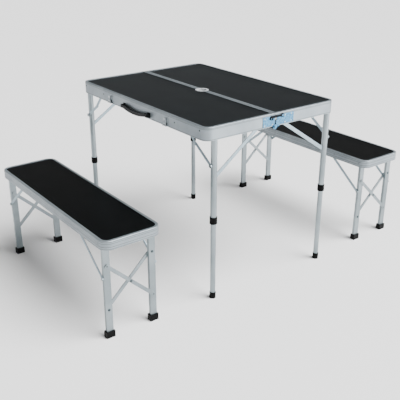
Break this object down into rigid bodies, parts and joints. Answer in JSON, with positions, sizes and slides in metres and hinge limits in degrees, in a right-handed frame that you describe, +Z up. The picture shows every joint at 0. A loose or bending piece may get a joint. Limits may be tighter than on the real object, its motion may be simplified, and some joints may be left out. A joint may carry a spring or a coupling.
{
  "type": "folding picnic table set",
  "caption": "Folding picnic table: two hinged framed halves that close into a carrying case, tubular telescopic legs with stays, an umbrella hole, and loose folding benches.",
  "frame": {"origin": "on the floor, under the middle of the whole set as it stands open", "axes": "+X along the hinge line and the benches, +Y from the handle side to the rear bench, +Z up"},
  "size_m": [0.9136, 1.539, 0.71],
  "materials": {
    "rim_aluminium": "satin anodised extrusion",
    "table_board": "charcoal laminated board with a fine grain",
    "seat_board": "near-black laminated board",
    "ring_plastic": "satin ring",
    "zinc_steel": "zinc-plated sheet steel",
    "dark_steel": "black enamel on steel",
    "handle_plastic": "moulded plastic, fine texture",
    "latch_steel": "bright plated steel",
    "black_plastic": "moulded plastic",
    "leg_aluminium": "satin tube"
  },
  "bodies": {
    "half_front": {"frame_front": "rim_aluminium", "board_front": "table_board", "umbrella_ring_front": "ring_plastic", "leg_mounts_front": "zinc_steel", "hinge_plates_front": "zinc_steel", "handle_lugs": "handle_plastic", "latch_mounts": "latch_steel"},
    "half_rear": {"frame_rear": "rim_aluminium", "board_rear": "table_board", "umbrella_ring_rear": "ring_plastic", "leg_mounts_rear": "zinc_steel", "hinge_plates_rear": "zinc_steel", "latch_keepers": "latch_steel"},
    "hinge_locks": {"hinge_locks": "dark_steel"},
    "latches": {"latches": "latch_steel"},
    "handle_grip": {"handle_grip": "handle_plastic"},
    "leg_front_right": {"leg_upper_front_right": "leg_aluminium", "leg_collar_front_right": "black_plastic", "slant_bar_front_right": "zinc_steel"},
    "leg_end_front_right": {"leg_lower_front_right": "leg_aluminium", "leg_foot_front_right": "black_plastic"},
    "stay_upper_front_right": {"stay_upper_front_right": "zinc_steel"},
    "stay_lower_front_right": {"stay_lower_front_right": "dark_steel"},
    "leg_front_left": {"leg_upper_front_left": "leg_aluminium", "leg_collar_front_left": "black_plastic", "slant_bar_front_left": "zinc_steel"},
    "leg_end_front_left": {"leg_lower_front_left": "leg_aluminium", "leg_foot_front_left": "black_plastic"},
    "stay_upper_front_left": {"stay_upper_front_left": "zinc_steel"},
    "stay_lower_front_left": {"stay_lower_front_left": "dark_steel"},
    "leg_rear_right": {"leg_upper_rear_right": "leg_aluminium", "leg_collar_rear_right": "black_plastic", "slant_bar_rear_right": "zinc_steel"},
    "leg_end_rear_right": {"leg_lower_rear_right": "leg_aluminium", "leg_foot_rear_right": "black_plastic"},
    "stay_upper_rear_right": {"stay_upper_rear_right": "zinc_steel"},
    "stay_lower_rear_right": {"stay_lower_rear_right": "dark_steel"},
    "leg_rear_left": {"leg_upper_rear_left": "leg_aluminium", "leg_collar_rear_left": "black_plastic", "slant_bar_rear_left": "zinc_steel"},
    "leg_end_rear_left": {"leg_lower_rear_left": "leg_aluminium", "leg_foot_rear_left": "black_plastic"},
    "stay_upper_rear_left": {"stay_upper_rear_left": "zinc_steel"},
    "stay_lower_rear_left": {"stay_lower_rear_left": "dark_steel"},
    "front_bench": {"front_bench_frame": "rim_aluminium", "front_bench_board": "seat_board"},
    "front_bench_legs_right": {"front_bench_legs_right": "leg_aluminium", "front_bench_feet_right": "black_plastic"},
    "front_bench_stays_right": {"front_bench_stays_right": "zinc_steel"},
    "front_bench_legs_left": {"front_bench_legs_left": "leg_aluminium", "front_bench_feet_left": "black_plastic"},
    "front_bench_stays_left": {"front_bench_stays_left": "zinc_steel"},
    "rear_bench": {"rear_bench_frame": "rim_aluminium", "rear_bench_board": "seat_board"},
    "rear_bench_legs_right": {"rear_bench_legs_right": "leg_aluminium", "rear_bench_feet_right": "black_plastic"},
    "rear_bench_stays_right": {"rear_bench_stays_right": "zinc_steel"},
    "rear_bench_legs_left": {"rear_bench_legs_left": "leg_aluminium", "rear_bench_feet_left": "black_plastic"},
    "rear_bench_stays_left": {"rear_bench_stays_left": "zinc_steel"}
  },
  "joints": [
    {"name": "table_fold", "type": "hinge", "parent": "half_front", "child": "half_rear", "pos_m": [0, -0.024, 0.6585], "axis": [-1, 0, 0], "range_deg": [0, 180]},
    {"name": "hinge_lock_swing", "type": "hinge", "parent": "half_rear", "child": "hinge_locks", "pos_m": [0, 0.012, 0.698], "axis": [-1, 0, 0], "range_deg": [0, 60]},
    {"name": "latch_swing", "type": "hinge", "parent": "half_front", "child": "latches", "pos_m": [0, -0.3545, 0.6645], "axis": [1, 0, 0], "range_deg": [0, 180]},
    {"name": "grip_swing", "type": "hinge", "parent": "half_front", "child": "handle_grip", "pos_m": [0, -0.36, 0.675], "axis": [-1, 0, 0], "range_deg": [0, 110]},
    {"name": "leg_fold_front_right", "type": "hinge", "parent": "half_front", "child": "leg_front_right", "pos_m": [0.422, -0.2885, 0.682], "axis": [0, 1, 0], "range_deg": [0, 90]},
    {"name": "leg_length_front_right", "type": "slide", "parent": "leg_front_right", "child": "leg_end_front_right", "axis": [0, 0, 1], "range_m": [0, 0.296]},
    {"name": "stay_upper_turn_front_right", "type": "hinge", "parent": "half_front", "child": "stay_upper_front_right", "pos_m": [0.274, -0.3051, 0.682], "axis": [0, 1, 0], "range_deg": [0, 131.25]},
    {"name": "stay_lower_turn_front_right", "type": "hinge", "parent": "leg_front_right", "child": "stay_lower_front_right", "pos_m": [0.422, -0.3025, 0.554], "axis": [0, -1, 0], "range_deg": [0, 124.42]},
    {"name": "leg_fold_front_left", "type": "hinge", "parent": "half_front", "child": "leg_front_left", "pos_m": [-0.4345, -0.323, 0.682], "axis": [0, -1, 0], "range_deg": [0, 90]},
    {"name": "leg_length_front_left", "type": "slide", "parent": "leg_front_left", "child": "leg_end_front_left", "axis": [0, 0, 1], "range_m": [0, 0.296]},
    {"name": "stay_upper_turn_front_left", "type": "hinge", "parent": "half_front", "child": "stay_upper_front_left", "pos_m": [-0.2865, -0.3396, 0.682], "axis": [0, -1, 0], "range_deg": [0, 131.25]},
    {"name": "stay_lower_turn_front_left", "type": "hinge", "parent": "leg_front_left", "child": "stay_lower_front_left", "pos_m": [-0.4345, -0.337, 0.554], "axis": [0, 1, 0], "range_deg": [0, 124.42]},
    {"name": "leg_fold_rear_right", "type": "hinge", "parent": "half_rear", "child": "leg_rear_right", "pos_m": [0.4345, 0.275, 0.682], "axis": [0, 1, 0], "range_deg": [0, 90]},
    {"name": "leg_length_rear_right", "type": "slide", "parent": "leg_rear_right", "child": "leg_end_rear_right", "axis": [0, 0, 1], "range_m": [0, 0.296]},
    {"name": "stay_upper_turn_rear_right", "type": "hinge", "parent": "half_rear", "child": "stay_upper_rear_right", "pos_m": [0.2865, 0.2916, 0.682], "axis": [0, 1, 0], "range_deg": [0, 131.25]},
    {"name": "stay_lower_turn_rear_right", "type": "hinge", "parent": "leg_rear_right", "child": "stay_lower_rear_right", "pos_m": [0.4345, 0.289, 0.554], "axis": [0, -1, 0], "range_deg": [0, 124.42]},
    {"name": "leg_fold_rear_left", "type": "hinge", "parent": "half_rear", "child": "leg_rear_left", "pos_m": [-0.422, 0.2405, 0.682], "axis": [0, -1, 0], "range_deg": [0, 90]},
    {"name": "leg_length_rear_left", "type": "slide", "parent": "leg_rear_left", "child": "leg_end_rear_left", "axis": [0, 0, 1], "range_m": [0, 0.296]},
    {"name": "stay_upper_turn_rear_left", "type": "hinge", "parent": "half_rear", "child": "stay_upper_rear_left", "pos_m": [-0.274, 0.2571, 0.682], "axis": [0, -1, 0], "range_deg": [0, 131.25]},
    {"name": "stay_lower_turn_rear_left", "type": "hinge", "parent": "leg_rear_left", "child": "stay_lower_rear_left", "pos_m": [-0.422, 0.2545, 0.554], "axis": [0, 1, 0], "range_deg": [0, 124.42]},
    {"name": "front_bench_pull_out", "type": "slide", "parent": "half_front", "child": "front_bench", "axis": [0, -1, 0], "range_m": [0, 0.3]},
    {"name": "front_bench_leg_fold_right", "type": "hinge", "parent": "front_bench", "child": "front_bench_legs_right", "pos_m": [0.41, -0.652, 0.3765], "axis": [0, 1, 0], "range_deg": [0, 90]},
    {"name": "front_bench_stay_turn_right", "type": "hinge", "parent": "front_bench_legs_right", "child": "front_bench_stays_right", "pos_m": [0.41, -0.652, 0.2395], "axis": [0, -1, 0], "range_deg": [0, 128.07]},
    {"name": "front_bench_leg_fold_left", "type": "hinge", "parent": "front_bench", "child": "front_bench_legs_left", "pos_m": [-0.39, -0.652, 0.3765], "axis": [0, -1, 0], "range_deg": [0, 90]},
    {"name": "front_bench_stay_turn_left", "type": "hinge", "parent": "front_bench_legs_left", "child": "front_bench_stays_left", "pos_m": [-0.39, -0.652, 0.2395], "axis": [0, 1, 0], "range_deg": [0, 128.07]},
    {"name": "rear_bench_pull_out", "type": "slide", "parent": "half_front", "child": "rear_bench", "axis": [0, 1, 0], "range_m": [0, 0.3]},
    {"name": "rear_bench_leg_fold_right", "type": "hinge", "parent": "rear_bench", "child": "rear_bench_legs_right", "pos_m": [0.411, 0.652, 0.3765], "axis": [0, 1, 0], "range_deg": [0, 90]},
    {"name": "rear_bench_stay_turn_right", "type": "hinge", "parent": "rear_bench_legs_right", "child": "rear_bench_stays_right", "pos_m": [0.411, 0.652, 0.2395], "axis": [0, -1, 0], "range_deg": [0, 128.07]},
    {"name": "rear_bench_leg_fold_left", "type": "hinge", "parent": "rear_bench", "child": "rear_bench_legs_left", "pos_m": [-0.389, 0.652, 0.3765], "axis": [0, -1, 0], "range_deg": [0, 90]},
    {"name": "rear_bench_stay_turn_left", "type": "hinge", "parent": "rear_bench_legs_left", "child": "rear_bench_stays_left", "pos_m": [-0.389, 0.652, 0.2395], "axis": [0, 1, 0], "range_deg": [0, 128.07]}
  ],
  "couplings": [
    {"joint": "leg_fold_front_right", "follows": "table_fold", "ratio": 0.5},
    {"joint": "leg_length_front_right", "follows": "table_fold", "m_per_rad": 0.09421},
    {"joint": "stay_upper_turn_front_right", "follows": "table_fold", "ratio": 0.72912},
    {"joint": "stay_lower_turn_front_right", "follows": "table_fold", "ratio": 0.69119},
    {"joint": "leg_fold_front_left", "follows": "table_fold", "ratio": 0.5},
    {"joint": "leg_length_front_left", "follows": "table_fold", "m_per_rad": 0.09421},
    {"joint": "stay_upper_turn_front_left", "follows": "table_fold", "ratio": 0.72912},
    {"joint": "stay_lower_turn_front_left", "follows": "table_fold", "ratio": 0.69119},
    {"joint": "leg_fold_rear_right", "follows": "table_fold", "ratio": 0.5},
    {"joint": "leg_length_rear_right", "follows": "table_fold", "m_per_rad": 0.09421},
    {"joint": "stay_upper_turn_rear_right", "follows": "table_fold", "ratio": 0.72912},
    {"joint": "stay_lower_turn_rear_right", "follows": "table_fold", "ratio": 0.69119},
    {"joint": "leg_fold_rear_left", "follows": "table_fold", "ratio": 0.5},
    {"joint": "leg_length_rear_left", "follows": "table_fold", "m_per_rad": 0.09421},
    {"joint": "stay_upper_turn_rear_left", "follows": "table_fold", "ratio": 0.72912},
    {"joint": "stay_lower_turn_rear_left", "follows": "table_fold", "ratio": 0.69119},
    {"joint": "front_bench_stay_turn_right", "follows": "front_bench_leg_fold_right", "ratio": 1.4229},
    {"joint": "front_bench_stay_turn_left", "follows": "front_bench_leg_fold_left", "ratio": 1.4229},
    {"joint": "rear_bench_stay_turn_right", "follows": "rear_bench_leg_fold_right", "ratio": 1.4229},
    {"joint": "rear_bench_stay_turn_left", "follows": "rear_bench_leg_fold_left", "ratio": 1.4229}
  ]
}
